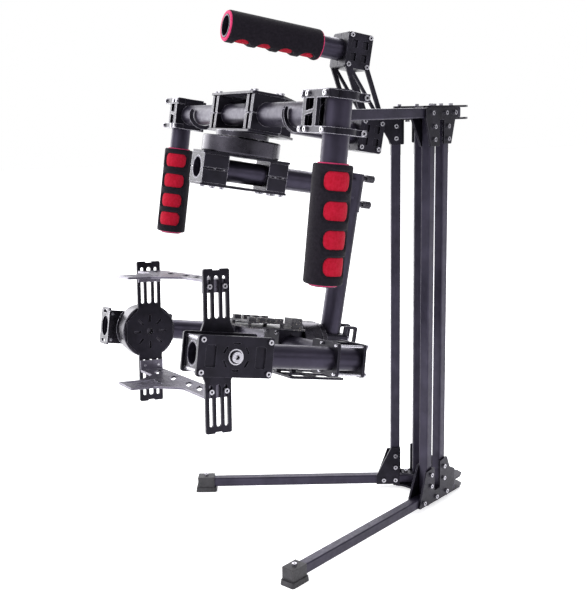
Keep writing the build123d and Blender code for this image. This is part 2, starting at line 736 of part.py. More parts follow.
# ---------------------------------------------------------------- drop tube
DROP_TOP = -46.0
DROP_END = -275.0
ROLL_BASE_BACK = 135.0
ROLL_BASE_FRONT = 129.0
ROLL_SHAFT_R = 5.0
BRACKET_Y = 175.0
mount_spots = [(x, ROLL_DROP + z) for x in (-14.8, 14.8) for z in (-14, 14)]
drop_rows = [(back(yaw, 167), mount_spots, SCREW_R, 34.0)]

with BuildPart() as drop_tube:
    tube(yaw.offset(DROP_TOP), (0, DROP_Y), DROP_END - DROP_TOP)

with BuildPart() as roll_mount:
    block(back(yaw, ROLL_BASE_BACK), (0, ROLL_DROP), (36, 36), 16 - 0.3, 2)
    block(back(yaw, DROP_Y + 0.3), (0, ROLL_DROP), (36, 36), 16 - 0.3, 2)
    cut_round(yaw.offset(ROLL_DROP - 18), [(0, DROP_Y)], CLAMP_R, 36)
    # an open bracket behind the mount, for cables and receivers
    for x in (-10.0, 6.0):
        with BuildSketch(side(yaw, x)) as hoop:
            with Locations((BRACKET_Y, ROLL_DROP + 15)):
                RectangleRounded(18, 26, 3)
                RectangleRounded(11, 19, 2, mode=Mode.SUBTRACT)
        extrude(hoop.sketch, amount=4)
    drill(drop_rows)

with BuildPart() as roll_motor_base:
    with BuildSketch(back(yaw, ROLL_BASE_FRONT)) as roll_disc:
        with Locations((0, ROLL_DROP)):
            Circle(28)
    extrude(roll_disc.sketch, amount=ROLL_BASE_BACK - ROLL_BASE_FRONT)
    with BuildSketch(front(yaw, ROLL_BASE_FRONT)) as roll_shaft:
        with Locations((0, ROLL_DROP)):
            Circle(ROLL_SHAFT_R)
    extrude(roll_shaft.sketch, amount=22)
    cut_round(front(yaw, ROLL_BASE_BACK), mount_spots, SCREW_R + SCREW_PLAY, 2.5)

with BuildPart() as drop_bolts:
    set_screws(drop_rows)


# ---------------------------------------------------------------- roll ring
ROLL_BELL_BACK = 128.0
ROLL_BELL_FRONT = 104.0
RING_START = -86.0
RING_END = 106.0
CROSS_HALF = 127.0
CORNER_PLATES = (70.5, 102.5)
CORNER_HALF = 18.0
BEARING_OUTER_X = 158.0
BEARING_INNER_X = 119.5
BEARING_SHEET = 4.0
BEARING_INNER_SHEET = 3.0
BEARING_HALF_Y = 41.0
BEARING_HALF_Z = 20.5
BEARING_R = 8.0
PIVOT_R = 4.0
MOTOR_PLATE_X = -127.2
MOTOR_FACE_X = -124.2
PITCH_MOTOR_R = 32.5
PITCH_GAP_X = -112.0
corner_spots = [(x, z) for x in (ARM_X - 15, ARM_X + 15) for z in (-15, 15)]
bearing_spots = [(PITCH_Y + y, z) for y in (-36.5, 36.5) for z in (-16, 16)]
clamp_spots = [(x, z) for x in (-15, 15) for z in (-15, 15)]
roll_rows = [
    (back(roll, 105.5), [(-x, z) for x, z in corner_spots], SCREW_R, 38.0),
    (back(roll, 105.5), corner_spots, SCREW_R, 38.0),
    (side(roll, BEARING_OUTER_X + BEARING_SHEET), bearing_spots, SCREW_R, 44.0),
    (left(roll, -158), [(-y, z) for y, z in bearing_spots], SCREW_R, 34.5),
    (front(roll, 72), clamp_spots, SCREW_R, 34.0),
]

with BuildPart() as roll_motor_bell:
    with BuildSketch(front(roll, ROLL_BELL_BACK)) as roll_bell:
        Circle(30)
    extrude(roll_bell.sketch, amount=ROLL_BELL_BACK - ROLL_BELL_FRONT)
    fillet(roll_motor_bell.edges().filter_by(GeomType.CIRCLE), 1.5)
    cut_round(front(roll, ROLL_BELL_BACK), [(0, 0)], ROLL_SHAFT_R + RUNNING, 30)
    cut_round(front(roll, ROLL_BELL_FRONT + 3), clamp_spots, SCREW_R + SCREW_PLAY, 3)

with BuildPart() as cross_tube:
    tube(side(roll, -CROSS_HALF), (CROSS_Y, 0), 2 * CROSS_HALF)

with BuildPart() as cross_clamp:
    block(front(roll, 103.7), (0, 0), (38, 38), 15.4, 1.5)
    block(front(roll, CROSS_Y - 0.3), (0, 0), (38, 38), 15.7, 1.5)
    cut_round(side(roll, -19), [(CROSS_Y, 0)], CLAMP_R, 38)
    drill(roll_rows)

with BuildPart() as arm_tube_right:
    tube(back(roll, RING_START), (-ARM_X, 0), RING_END - RING_START)
    cut_round(side(roll, ARM_X - 20), [(PITCH_Y, 0)], PIVOT_R + 0.5, 40)

with BuildPart() as arm_tube_left:
    tube(back(roll, RING_START), (ARM_X, 0), RING_END - RING_START)

with BuildPart() as corner_clamps:
    # two ring plates around each arm tube and a jaw block on the cross tube between them
    for y in CORNER_PLATES:
        with BuildSketch(back(roll, y)) as corner_outline:
            with Locations((-ARM_X + 10, 0)):
                RectangleRounded(56, 2 * CORNER_HALF, 4)
            with Locations((-ARM_X, 0)):
                Circle(CLAMP_R, mode=Mode.SUBTRACT)
            with Locations((-ARM_X + 28, 0)):
                RectangleRounded(7, 20, 2, mode=Mode.SUBTRACT)
        extrude(corner_outline.sketch, amount=3)
    block(side(roll, 112), (CROSS_Y, 0), (29, 2 * CORNER_HALF - 2), 15.1)
    cut_round(side(roll, 112), [(CROSS_Y, 0)], CLAMP_R, 15.1)
    drill(roll_rows)
    mirror(about=side(roll, 0))

with BuildPart() as controller:
    # a carrier plate on the cross clamp, a circuit board on four posts, and a receiver box
    with BuildSketch(roll.offset(19.2)) as carrier:
        with Locations((4, 62)):
            RectangleRounded(58, 76, 3)
    extrude(carrier.sketch, amount=2)
    with BuildSketch(roll.offset(21.2)) as posts:
        with Locations((4, 50)):
            with GridLocations(44, 42, 2, 2):
                Circle(2.4)
    extrude(posts.sketch, amount=4)
    with BuildSketch(roll.offset(25.2)) as board:
        with Locations((4, 50)):
            RectangleRounded(52, 50, 2)
    extrude(board.sketch, amount=1.6)
    with BuildSketch(roll.offset(26.8)) as connectors:
        with Locations((24, 50)):
            with GridLocations(1, 12, 1, 4):
                Rectangle(6, 9)
        with Locations((-16, 50)):
            with GridLocations(1, 12, 1, 4):
                Rectangle(6, 9)
    extrude(connectors.sketch, amount=5)
    with BuildSketch(roll.offset(26.8)) as chips:
        with Locations((4, 46)):
            Rectangle(12, 12)
        with Locations((4, 62)):
            Rectangle(9, 7)
    extrude(chips.sketch, amount=1.8)

    # the receiver box behind the board
    block(roll.offset(21.2), (18, 90), (22, 14), 12, 1.5)

with BuildPart() as battery_plate:
    with BuildSketch(roll.offset(-34.0)) as tray:
        with Locations((20, 108)):
            RectangleRounded(76, 72, 4)
        with Locations((20, 108)):
            with GridLocations(34, 32, 2, 2):
                RectangleRounded(26, 24, 3, mode=Mode.SUBTRACT)
    extrude(tray.sketch, amount=2.5)
    with BuildSketch(roll.offset(-31.5)) as hangers:
        with Locations((-12, 78), (12, 78), (-12, 98), (12, 98)):
            Rectangle(7, 6)
    extrude(hangers.sketch, amount=12.5)

with BuildPart() as bearing_plates:
    # outer plate with two pockets, and a plain inner plate
    for x, depth in ((BEARING_OUTER_X, BEARING_SHEET), (BEARING_INNER_X, BEARING_INNER_SHEET)):
        with BuildSketch(side(roll, x)) as plate_outline:
            with Locations((PITCH_Y, 0)):
                RectangleRounded(2 * BEARING_HALF_Y, 2 * BEARING_HALF_Z, 3)
                Circle(BEARING_R + RUNNING, mode=Mode.SUBTRACT)
        extrude(plate_outline.sketch, amount=depth)
    with BuildSketch(side(roll, BEARING_OUTER_X + BEARING_SHEET)) as pockets:
        with Locations((PITCH_Y - 27, 0), (PITCH_Y + 27, 0)):
            RectangleRounded(11, 22, 2)
    extrude(pockets.sketch, amount=-2, mode=Mode.SUBTRACT)
    with BuildSketch(side(roll, BEARING_OUTER_X + BEARING_SHEET)) as arcs:
        with Locations((PITCH_Y, 0)):
            with PolarLocations(13.5, 6, start_angle=30):
                SlotOverall(8, 2, rotation=90)
    extrude(arcs.sketch, amount=-2, mode=Mode.SUBTRACT)
    drill(roll_rows)

with BuildPart() as arm_blocks:
    # square jaws on both arm tubes, in front of and behind the pitch axis
    for start in (RING_START, PITCH_Y + 25.0):
        block(back(roll, start), (-ARM_X - 0.25, 0), (35.5, 36), 13, 1.5)
        cut_round(back(roll, start), [(-ARM_X, 0)], CLAMP_R, 13)
        block(back(roll, start), (ARM_X + 2.6, 0), (30.8, 36), 13, 1.5)
        cut_round(back(roll, start), [(ARM_X, 0)], CLAMP_R, 13)
    # slotted lugs at the front end of the left arm
    with BuildSketch(back(roll, RING_START - 3)) as lug:
        with Locations((ARM_X + 2.6, 0)):
            RectangleRounded(30, 46, 5)
            with Locations((0, 18), (0, -18)):
                SlotOverall(14, 4, mode=Mode.SUBTRACT)
        with Locations((ARM_X, 0)):
            Circle(CLAMP_R, mode=Mode.SUBTRACT)
    extrude(lug.sketch, amount=3)
    drill(roll_rows)

with BuildPart() as pitch_bearings:
    for x, depth in ((BEARING_OUTER_X, BEARING_SHEET), (BEARING_INNER_X, BEARING_INNER_SHEET)):
        tube(side(roll, x), (PITCH_Y, 0), depth, BEARING_R, PIVOT_R + RUNNING)

with BuildPart() as pitch_motor_base:
    with BuildSketch(side(roll, MOTOR_PLATE_X)) as seat:
        with Locations((PITCH_Y, 0)):
            RectangleRounded(2 * BEARING_HALF_Y, 2 * BEARING_HALF_Z, 3)
            Circle(25)
    extrude(seat.sketch, amount=MOTOR_FACE_X - MOTOR_PLATE_X)
    with BuildSketch(side(roll, MOTOR_FACE_X)) as stator:
        with Locations((PITCH_Y, 0)):
            Circle(PITCH_MOTOR_R - 2)
    extrude(stator.sketch, amount=PITCH_GAP_X - MOTOR_FACE_X)
    with BuildSketch(side(roll, PITCH_GAP_X)) as axle:
        with Locations((PITCH_Y, 0)):
            Circle(PIVOT_R)
    extrude(axle.sketch, amount=19)
    drill(roll_rows)

with BuildPart() as roll_bolts:
    set_screws(roll_rows)


# ---------------------------------------------------------------- camera cage
SLOT_LOW = 34.0
SLOT_HIGH = 78.0
SLOT_PITCH = 8.4
SLOT_WIDTH = 3.8
WIDE_SLOT = 5.4
CAMERA_TOP = 74.0
CAMERA_LOW = -48.5
FLANGE_DROP = 12.5
CAMERA_NEAR = NEAR_PLATE_X - 0.4
CAMERA_FAR = FAR_PLATE_X + CAGE_SHEET + 0.4
CAMERA_BACK = 14.0
NOSE_FRONT = -63.0      # the nose of a camera plate reaches forward for a lens
NOSE_BACK = -38.0
NOSE_LEFT = -19.4
NOSE_RIGHT = 26.6
CAMERA_HOLE_X = 95.0
CAMERA_SCREW_R = 3.3    # clears a quarter-inch camera screw
HUB_OUTLINE = [
    (-22, -12), (-14.5, -31), (14.5, -31), (22, -12),
    (22, 12), (14.5, 31), (-14.5, 31), (-22, 12),
]


def slotted_sheet(x, hub):
    """A tall side plate with three long slots above and below its hub."""
    with BuildSketch(side(pitch, x)) as sheet_outline:
        Rectangle(2 * CAGE_HALF_WIDTH, 2 * CAGE_HALF_HEIGHT)
        fillet(sheet_outline.vertices(), 2)
        if hub == "motor":
            RegularPolygon(31.4, 8, rotation=22.5)
            Circle(PIVOT_R + RUNNING, mode=Mode.SUBTRACT)
            with PolarLocations(16, 8):
                SlotOverall(9, 2.5, mode=Mode.SUBTRACT)
        else:
            Polygon(*HUB_OUTLINE, align=None)
            Circle(PIVOT_R + RUNNING, mode=Mode.SUBTRACT)
        for way in (-1, 1):
            middle = way * (SLOT_LOW + SLOT_HIGH) / 2
            with Locations((-SLOT_PITCH, middle), (SLOT_PITCH, middle)):
                SlotOverall(SLOT_HIGH - SLOT_LOW, SLOT_WIDTH, rotation=90, mode=Mode.SUBTRACT)
            with Locations((0, middle)):
                SlotOverall(SLOT_HIGH - SLOT_LOW, WIDE_SLOT, rotation=90, mode=Mode.SUBTRACT)
            with Locations((0, way * CAGE_HALF_HEIGHT)):
                Rectangle(8, 3, mode=Mode.SUBTRACT)
    extrude(sheet_outline.sketch, amount=CAGE_SHEET)


with BuildPart() as side_plate_right:
    slotted_sheet(NEAR_PLATE_X, "bearing")

with BuildPart() as side_plate_left:
    slotted_sheet(FAR_PLATE_X, "motor")

with BuildPart() as pitch_motor_bell:
    with BuildSketch(side(pitch, PITCH_GAP_X + 1)) as rotor:
        Circle(PITCH_MOTOR_R)
    extrude(rotor.sketch, amount=FAR_PLATE_X - PITCH_GAP_X - 1)
    fillet(pitch_motor_bell.edges().filter_by(GeomType.CIRCLE), 1.2)
    cut_round(side(pitch, PITCH_GAP_X + 1), [(0, 0)], PIVOT_R + RUNNING, 24)
    with BuildSketch(side(pitch, PITCH_GAP_X + 1)) as rotor_vents:
        with PolarLocations(22, 10):
            SlotOverall(10, 4)
    extrude(rotor_vents.sketch, amount=4, mode=Mode.SUBTRACT)

with BuildPart() as pitch_shaft:
    # shoulder bolt: through both bearings and the right-hand plate, nut inside the cage
    with BuildSketch(side(pitch, NEAR_PLATE_X - 4)) as bolt:
        Circle(PIVOT_R)
    extrude(bolt.sketch, amount=BEARING_OUTER_X + BEARING_SHEET + 0.5 - NEAR_PLATE_X + 4)
    with BuildSketch(side(pitch, BEARING_OUTER_X + BEARING_SHEET + 0.5)) as bolt_head:
        Circle(5.5)
        RegularPolygon(2.6, 6, mode=Mode.SUBTRACT)
    extrude(bolt_head.sketch, amount=3)
    with BuildSketch(side(pitch, NEAR_PLATE_X - 4.2)) as nut:
        RegularPolygon(7, 6)
    extrude(nut.sketch, amount=4)

CAMERA_OUTLINE = [
    (CAMERA_NEAR, -CAMERA_BACK), (CAMERA_NEAR, CAMERA_BACK), (CAMERA_FAR, CAMERA_BACK),
    (CAMERA_FAR, -CAMERA_BACK), (NOSE_LEFT - 26, -CAMERA_BACK), (NOSE_LEFT, NOSE_BACK),
    (NOSE_LEFT, NOSE_FRONT), (NOSE_RIGHT, NOSE_FRONT), (NOSE_RIGHT, NOSE_BACK),
    (NOSE_RIGHT + 26, -CAMERA_BACK),
]
CAMERA_WINDOWS = [
    [(-62, -6), (-76, 6), (-63, 6), (-47, -6)],
    [(-12, -6), (-26, 6), (-13, 6), (3, -6)],
    [(35, -6), (21, 6), (34, 6), (50, -6)],
    [(66, -6), (52, 6), (65, 6), (81, -6)],
    [(NOSE_LEFT + 5, -56), (NOSE_LEFT + 14, -56), (NOSE_LEFT + 14, -24), (NOSE_LEFT + 5, -24)],
    [(NOSE_RIGHT - 14, -56), (NOSE_RIGHT - 5, -56), (NOSE_RIGHT - 5, -24), (NOSE_RIGHT - 14, -24)],
]


def camera_sheet(z, way):
    """A lattice plate between the side plates, its end flanges up (1) or down (-1)."""
    panel(pitch.offset(z), CAMERA_OUTLINE, SHEET, 2, CAMERA_WINDOWS)
    with BuildSketch(pitch.offset(z)) as camera_holes:
        with Locations(((NOSE_LEFT + NOSE_RIGHT) / 2, -40)):
            SlotOverall(30, 2 * CAMERA_SCREW_R, rotation=90)
        with Locations((CAMERA_HOLE_X, 0)):
            Circle(CAMERA_SCREW_R)
    extrude(camera_holes.sketch, amount=SHEET, mode=Mode.SUBTRACT)
    for x in (CAMERA_NEAR - SHEET, CAMERA_FAR):
        with BuildSketch(side(pitch, x)) as flange:
            with Locations((0, z + SHEET / 2 + way * FLANGE_DROP / 2)):
                Rectangle(2 * CAMERA_BACK, FLANGE_DROP)
        extrude(flange.sketch, amount=SHEET)


def cage_screws(z):
    """Short screws through the slots of both side plates."""
    near = NEAR_PLATE_X + CAGE_SHEET + 0.4
    far = FAR_PLATE_X - 0.4
    return [
        (side(pitch, near), [(-SLOT_PITCH, z), (SLOT_PITCH, z)], SCREW_R, 7.0),
        (left(pitch, far), [(-SLOT_PITCH, z), (SLOT_PITCH, z)], SCREW_R, 7.0),
    ]


top_screws = cage_screws(CAMERA_TOP - 7)
low_screws = cage_screws(CAMERA_LOW + 7.5)

with BuildPart() as top_camera_plate:
    camera_sheet(CAMERA_TOP - SHEET, -1)
    drill(top_screws)

with BuildPart() as bottom_camera_plate:
    camera_sheet(CAMERA_LOW, 1)
    drill(low_screws)

with BuildPart() as top_camera_screws:
    set_screws(top_screws)

with BuildPart() as bottom_camera_screws:
    set_screws(low_screws)


# ---------------------------------------------------------------- files
pieces = {
    "leg_right": leg_right,
    "leg_left": leg_left,
    "arm_right": arm_right,
    "arm_left": arm_left,
    "columns_right": columns_right,
    "columns_left": columns_left,
    "gussets": gussets,
    "spreaders": spreaders,
    "feet": feet,
    "cradles": cradles,
    "stand_bolts": stand_bolts,
    "crossbar": crossbar,
    "handle_right": handle_right,
    "handle_left": handle_left,
    "grip_right": grip_right,
    "grip_left": grip_left,
    "handle_clamp_right": handle_clamp_right,
    "handle_clamp_left": handle_clamp_left,
    "yoke_clamps": yoke_clamps,
    "yoke_plates": yoke_plates,
    "boom": boom,
    "truss_clamps": truss_clamps,
    "truss_plates": truss_plates,
    "top_handle": top_handle,
    "top_grip": top_grip,
    "handlebar_bolts": handlebar_bolts,
    "yaw_motor_base": yaw_motor_base,
    "yaw_motor_bell": yaw_motor_bell,
    "yaw_arm_tube": yaw_arm_tube,
    "yaw_clamps": yaw_clamps,
    "yaw_tie_plates": yaw_tie_plates,
    "height_clamp": height_clamp,
    "yaw_bolts": yaw_bolts,
    "thumbscrew_upper": thumbscrew_upper,
    "thumbscrew_lower": thumbscrew_lower,
    "drop_tube": drop_tube,
    "roll_mount": roll_mount,
    "roll_motor_base": roll_motor_base,
    "drop_bolts": drop_bolts,
    "roll_motor_bell": roll_motor_bell,
    "cross_tube": cross_tube,
    "cross_clamp": cross_clamp,
    "arm_tube_right": arm_tube_right,
    "arm_tube_left": arm_tube_left,
    "corner_clamps": corner_clamps,
    "controller": controller,
    "battery_plate": battery_plate,
    "bearing_plates": bearing_plates,
    "arm_blocks": arm_blocks,
    "pitch_bearings": pitch_bearings,
    "pitch_motor_base": pitch_motor_base,
    "roll_bolts": roll_bolts,
    "side_plate_right": side_plate_right,
    "side_plate_left": side_plate_left,
    "pitch_motor_bell": pitch_motor_bell,
    "pitch_shaft": pitch_shaft,
    "top_camera_plate": top_camera_plate,
    "top_camera_screws": top_camera_screws,
    "bottom_camera_plate": bottom_camera_plate,
    "bottom_camera_screws": bottom_camera_screws,
}
for name, piece in pieces.items():
    piece.part.label = name
    export_step(piece.part, f"parts/{name}.step")
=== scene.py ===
import json
import math

import bpy
from mathutils import Matrix, Vector


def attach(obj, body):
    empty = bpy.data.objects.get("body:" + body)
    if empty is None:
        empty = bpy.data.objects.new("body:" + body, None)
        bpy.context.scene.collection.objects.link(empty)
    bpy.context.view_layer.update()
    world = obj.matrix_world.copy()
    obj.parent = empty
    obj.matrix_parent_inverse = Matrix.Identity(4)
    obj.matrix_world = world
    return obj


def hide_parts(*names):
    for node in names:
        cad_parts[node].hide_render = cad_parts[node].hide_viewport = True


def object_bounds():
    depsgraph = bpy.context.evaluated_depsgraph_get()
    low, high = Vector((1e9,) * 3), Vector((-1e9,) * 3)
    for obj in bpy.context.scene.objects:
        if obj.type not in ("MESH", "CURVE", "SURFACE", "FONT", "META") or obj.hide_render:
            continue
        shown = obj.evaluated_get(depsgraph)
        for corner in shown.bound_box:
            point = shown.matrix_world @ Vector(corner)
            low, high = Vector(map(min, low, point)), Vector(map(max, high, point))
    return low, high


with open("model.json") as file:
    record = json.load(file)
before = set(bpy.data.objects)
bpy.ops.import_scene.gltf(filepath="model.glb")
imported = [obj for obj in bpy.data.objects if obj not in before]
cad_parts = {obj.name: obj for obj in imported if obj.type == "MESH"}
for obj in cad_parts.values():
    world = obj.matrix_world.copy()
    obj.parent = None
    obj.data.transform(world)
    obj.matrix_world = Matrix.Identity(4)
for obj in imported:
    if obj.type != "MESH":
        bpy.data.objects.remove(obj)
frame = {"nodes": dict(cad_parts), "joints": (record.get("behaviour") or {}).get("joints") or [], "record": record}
cad_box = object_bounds()

# ---------------------------------------------------------------- places and sizes
JOINTS = {joint["name"]: joint for joint in frame["joints"]}
BAR_CENTRE = Vector(JOINTS["bar_rock"]["pos_m"])
YAW_AXIS = Vector(JOINTS["yaw_turn"]["axis"])
RIGHT_LEAN = math.radians(6.5)
LEFT_LEAN = math.radians(8.8)
HANDLE_X = 0.227
TUBE_R = 0.0125

# the side grips
GRIP_R = 0.01875
GRIP_CORE_R = 0.0158
GRIP_RIM_R = 0.0146
GRIP_TOP = -0.044                   # under the crossbar's axis
GRIP_LENGTH = 0.113
GRIP_SCOOP = 0.0024
WINDOW_PLACES = (0.0162, 0.0432, 0.0696, 0.0943)     # down from the grip's top
WINDOW_HALF_ALONG = 0.0096
RIGHT_HALF_ARC = 0.0174
LEFT_HALF_ARC = 0.0190
RIGHT_ANGLES = (-4, 18)             # of the first and the last window, in degrees
LEFT_ANGLES = (-31, -36)

# the top handle's grip
TOP_GRIP_R = 0.0175
TOP_GRIP_CORE_R = 0.0152
TOP_GRIP_RIM_R = 0.0167
TOP_GRIP_START = -0.037
TOP_GRIP_LENGTH = 0.115
TOP_GRIP_Z = 0.0915
TOP_GRIP_SCOOP = 0.0030
TOP_WINDOW_FIRST = 0.020
TOP_WINDOW_SPACING = 0.0266
TOP_HALF_ALONG = 0.0088
TOP_HALF_ARC = 0.0125

# what all three grips share
WINDOWS = 4
WINDOW_CORNER = 0.0078
WINDOW_EDGE = 0.0022                # width of the slope from the cover into a window
RIM = 0.0011                        # how far the core stands out of the cover at its ends
RIM_BULGE = 0.0012                  # how far the core's end is rounded over
RIM_DEPTH = 0.004
END_ROUND = 0.0022                  # rounding of the cover's ends
END_STEPS = 7
END_TURN = math.pi / 12
COVER_COLUMNS = 220
COVER_STEPS = 200
RIM_COLUMNS = 96
RIM_STEPS = 8
WINDOW_RINGS = 14
WINDOW_COLUMNS = 96
LAP = 0.0006                        # the cover's end face starts this far out of the core


def lean_frame(lean):
    """Axes on the handlebar whose Z leans to the rear."""
    x_axis = Vector((1, 0, 0))
    z_axis = Vector((0, math.sin(lean), math.cos(lean)))
    y_axis = z_axis.cross(x_axis)
    turn = Matrix((x_axis, y_axis, z_axis)).transposed().to_4x4()
    return Matrix.Translation(BAR_CENTRE) @ turn


right_handle = lean_frame(RIGHT_LEAN)
left_handle = lean_frame(LEFT_LEAN)
yoke = lean_frame(math.acos(YAW_AXIS.z))


# ---------------------------------------------------------------- shader helpers
class Surface:
    """A Principled material built from a few procedural layers."""

    def __init__(self, name, colour, roughness, metallic=0.0):
        self.material = bpy.data.materials.new(name)
        self.material.use_nodes = True
        self.nodes = self.material.node_tree.nodes
        self.links = self.material.node_tree.links
        self.shader = self.nodes["Principled BSDF"]
        self.shader.inputs["Metallic"].default_value = metallic
        self.shader.inputs["Roughness"].default_value = roughness
        self.shader.inputs["Base Color"].default_value = (*colour, 1)
        self.where = self.nodes.new("ShaderNodeTexCoord")
        self.colour = None
        self.height = None

    def noise(self, scale, detail=4.0, stretch=(1, 1, 1)):
        """Fine noise over the object's own coordinates, in metres."""
        mapping = self.nodes.new("ShaderNodeMapping")
        mapping.inputs["Scale"].default_value = stretch
        texture = self.nodes.new("ShaderNodeTexNoise")
        texture.inputs["Scale"].default_value = scale
        texture.inputs["Detail"].default_value = detail
        self.links.new(self.where.outputs["Object"], mapping.inputs["Vector"])
        self.links.new(mapping.outputs["Vector"], texture.inputs["Vector"])
        return texture.outputs["Fac"]

    def cells(self, scale):
        """Rounded cells, for foam."""
        texture = self.nodes.new("ShaderNodeTexVoronoi")
        texture.inputs["Scale"].default_value = scale
        self.links.new(self.where.outputs["Object"], texture.inputs["Vector"])
        return texture.outputs["Distance"]

    def spread(self, value, low, high, start=0.35, end=0.65):
        """Maps a 0..1 texture to a range."""
        ramp = self.nodes.new("ShaderNodeMapRange")
        ramp.inputs["From Min"].default_value = start
        ramp.inputs["From Max"].default_value = end
        ramp.inputs["To Min"].default_value = low
        ramp.inputs["To Max"].default_value = high
        self.links.new(value, ramp.inputs["Value"])
        return ramp.outputs["Result"]

    def vary_roughness(self, value, low, high):
        self.links.new(self.spread(value, low, high), self.shader.inputs["Roughness"])

    def tint(self, value, first, second):
        """Blends two colours by a texture."""
        mix = self.nodes.new("ShaderNodeMix")
        mix.data_type = "RGBA"
        self.links.new(self.spread(value, 0, 1), mix.inputs["Factor"])
        mix.inputs["A"].default_value = (*first, 1)
        mix.inputs["B"].default_value = (*second, 1)
        self.colour = mix.outputs["Result"]
        self.links.new(self.colour, self.shader.inputs["Base Color"])

    def over(self, mask, colour):
        """Lays a colour over what is there, by a mask."""
        mix = self.nodes.new("ShaderNodeMix")
        mix.data_type = "RGBA"
        self.links.new(mask, mix.inputs["Factor"])
        self.links.new(self.colour, mix.inputs["A"])
        mix.inputs["B"].default_value = (*colour, 1)
        self.colour = mix.outputs["Result"]
        self.links.new(self.colour, self.shader.inputs["Base Color"])

    def painted_edge_highlight(self, radius, colour, low=0.02, high=0.2):
        """A painted highlight: a lighter colour on edges, found by comparing rounded and true normals."""
        rounded = self.nodes.new("ShaderNodeBevel")
        rounded.samples = 6
        rounded.inputs["Radius"].default_value = radius
        geometry = self.nodes.new("ShaderNodeNewGeometry")
        product = self.nodes.new("ShaderNodeVectorMath")
        product.operation = "DOT_PRODUCT"
        self.links.new(rounded.outputs["Normal"], product.inputs[0])
        self.links.new(geometry.outputs["True Normal"], product.inputs[1])
        mask = self.spread(product.outputs["Value"], 1, 0, 1 - high, 1 - low)
        self.over(mask, colour)

    def painted_hollow_shade(self, reach, colour, low=0.35, high=0.75):
        """Painted shade: a darker colour inside sockets and narrow gaps, found by ambient occlusion."""
        shade = self.nodes.new("ShaderNodeAmbientOcclusion")
        shade.samples = 8
        shade.only_local = True
        shade.inputs["Distance"].default_value = reach
        self.over(self.spread(shade.outputs["AO"], 1, 0, low, high), colour)

    def bump(self, value, distance, strength=1.0, round_by=None):
        """Relief from a texture, on normals that round sharp edges."""
        relief = self.nodes.new("ShaderNodeBump")
        relief.inputs["Distance"].default_value = distance
        relief.inputs["Strength"].default_value = strength
        self.links.new(value, relief.inputs["Height"])
        if round_by:
            rounded = self.nodes.new("ShaderNodeBevel")
            rounded.samples = 4
            rounded.inputs["Radius"].default_value = round_by
            self.links.new(rounded.outputs["Normal"], relief.inputs["Normal"])
        self.links.new(relief.outputs["Normal"], self.shader.inputs["Normal"])


# ---------------------------------------------------------------- materials
SHIELD_INSIDE = (0.0051, 0.0054)    # where the bearing's shield begins, from its axis
SHIELD_OUTSIDE = (0.0067, 0.0070)   # and where it ends


def stand_paint():
    """Satin black anodised square tube, drawn lengthways."""
    s = Surface("stand_paint", (0.026, 0.022, 0.040), 0.4, 0.6)
    s.tint(s.noise(40, 5), (0.021, 0.018, 0.033), (0.035, 0.030, 0.052))
    # painted highlight: a lighter colour on every edge
    s.painted_edge_highlight(0.0005, (0.14, 0.13, 0.18), 0.03, 0.3)
    s.vary_roughness(s.noise(220, 6), 0.30, 0.48)
    s.bump(s.noise(1600, 3), 0.00003, 0.5, 0.0006)
    return s.material


def round_tube():
    """Slate anodised round tube with a faint violet cast."""
    s = Surface("round_tube", (0.034, 0.030, 0.048), 0.34, 0.8)
    s.tint(s.noise(30, 5), (0.030, 0.026, 0.042), (0.040, 0.035, 0.056))
    s.vary_roughness(s.noise(260, 6), 0.32, 0.46)
    s.bump(s.noise(2200, 2), 0.00002, 0.5, 0.0003)
    return s.material


def black_alloy(name, edge_radius, edge_colour):
    """Black anodised alloy with a painted highlight on its edges."""
    s = Surface(name, (0.012, 0.0105, 0.017), 0.36, 0.75)
    s.tint(s.noise(60, 5), (0.009, 0.008, 0.013), (0.017, 0.015, 0.024))
    # painted highlight on the edges, in edge_colour
    s.painted_edge_highlight(edge_radius, edge_colour, 0.02, 0.18)
    s.vary_roughness(s.noise(300, 6), 0.28, 0.44)
    s.bump(s.noise(2400, 2), 0.00002, 0.5, 0.0005)
    return s.material


def grey_alloy():
    """Silver-grey lattice plate, brushed one way."""
    s = Surface("grey_alloy", (0.14, 0.13, 0.165), 0.34, 0.9)
    s.tint(s.noise(50, 5), (0.11, 0.10, 0.13), (0.17, 0.16, 0.20))
    # painted highlight: near-white on every edge
    s.painted_edge_highlight(0.0005, (0.62, 0.60, 0.66), 0.02, 0.25)
    s.vary_roughness(s.noise(400, 5, (0.05, 1, 1)), 0.26, 0.44)
    s.bump(s.noise(1800, 3, (0.05, 1, 1)), 0.00002, 0.6, 0.0004)
    return s.material


def bright_steel():
    """Nickel-plated screws and other bright steel."""
    s = Surface("bright_steel", (0.46, 0.45, 0.49), 0.24, 1.0)
    s.tint(s.noise(900, 4), (0.36, 0.35, 0.39), (0.58, 0.57, 0.62))
    # painted shade: near-black in the screws' sockets and narrow gaps
    s.painted_hollow_shade(0.0022, (0.012, 0.011, 0.014), 0.45, 0.85)
    s.vary_roughness(s.noise(1500, 4), 0.16, 0.34)
    s.bump(s.noise(4000, 2), 0.00001, 0.5, 0.0003)
    return s.material


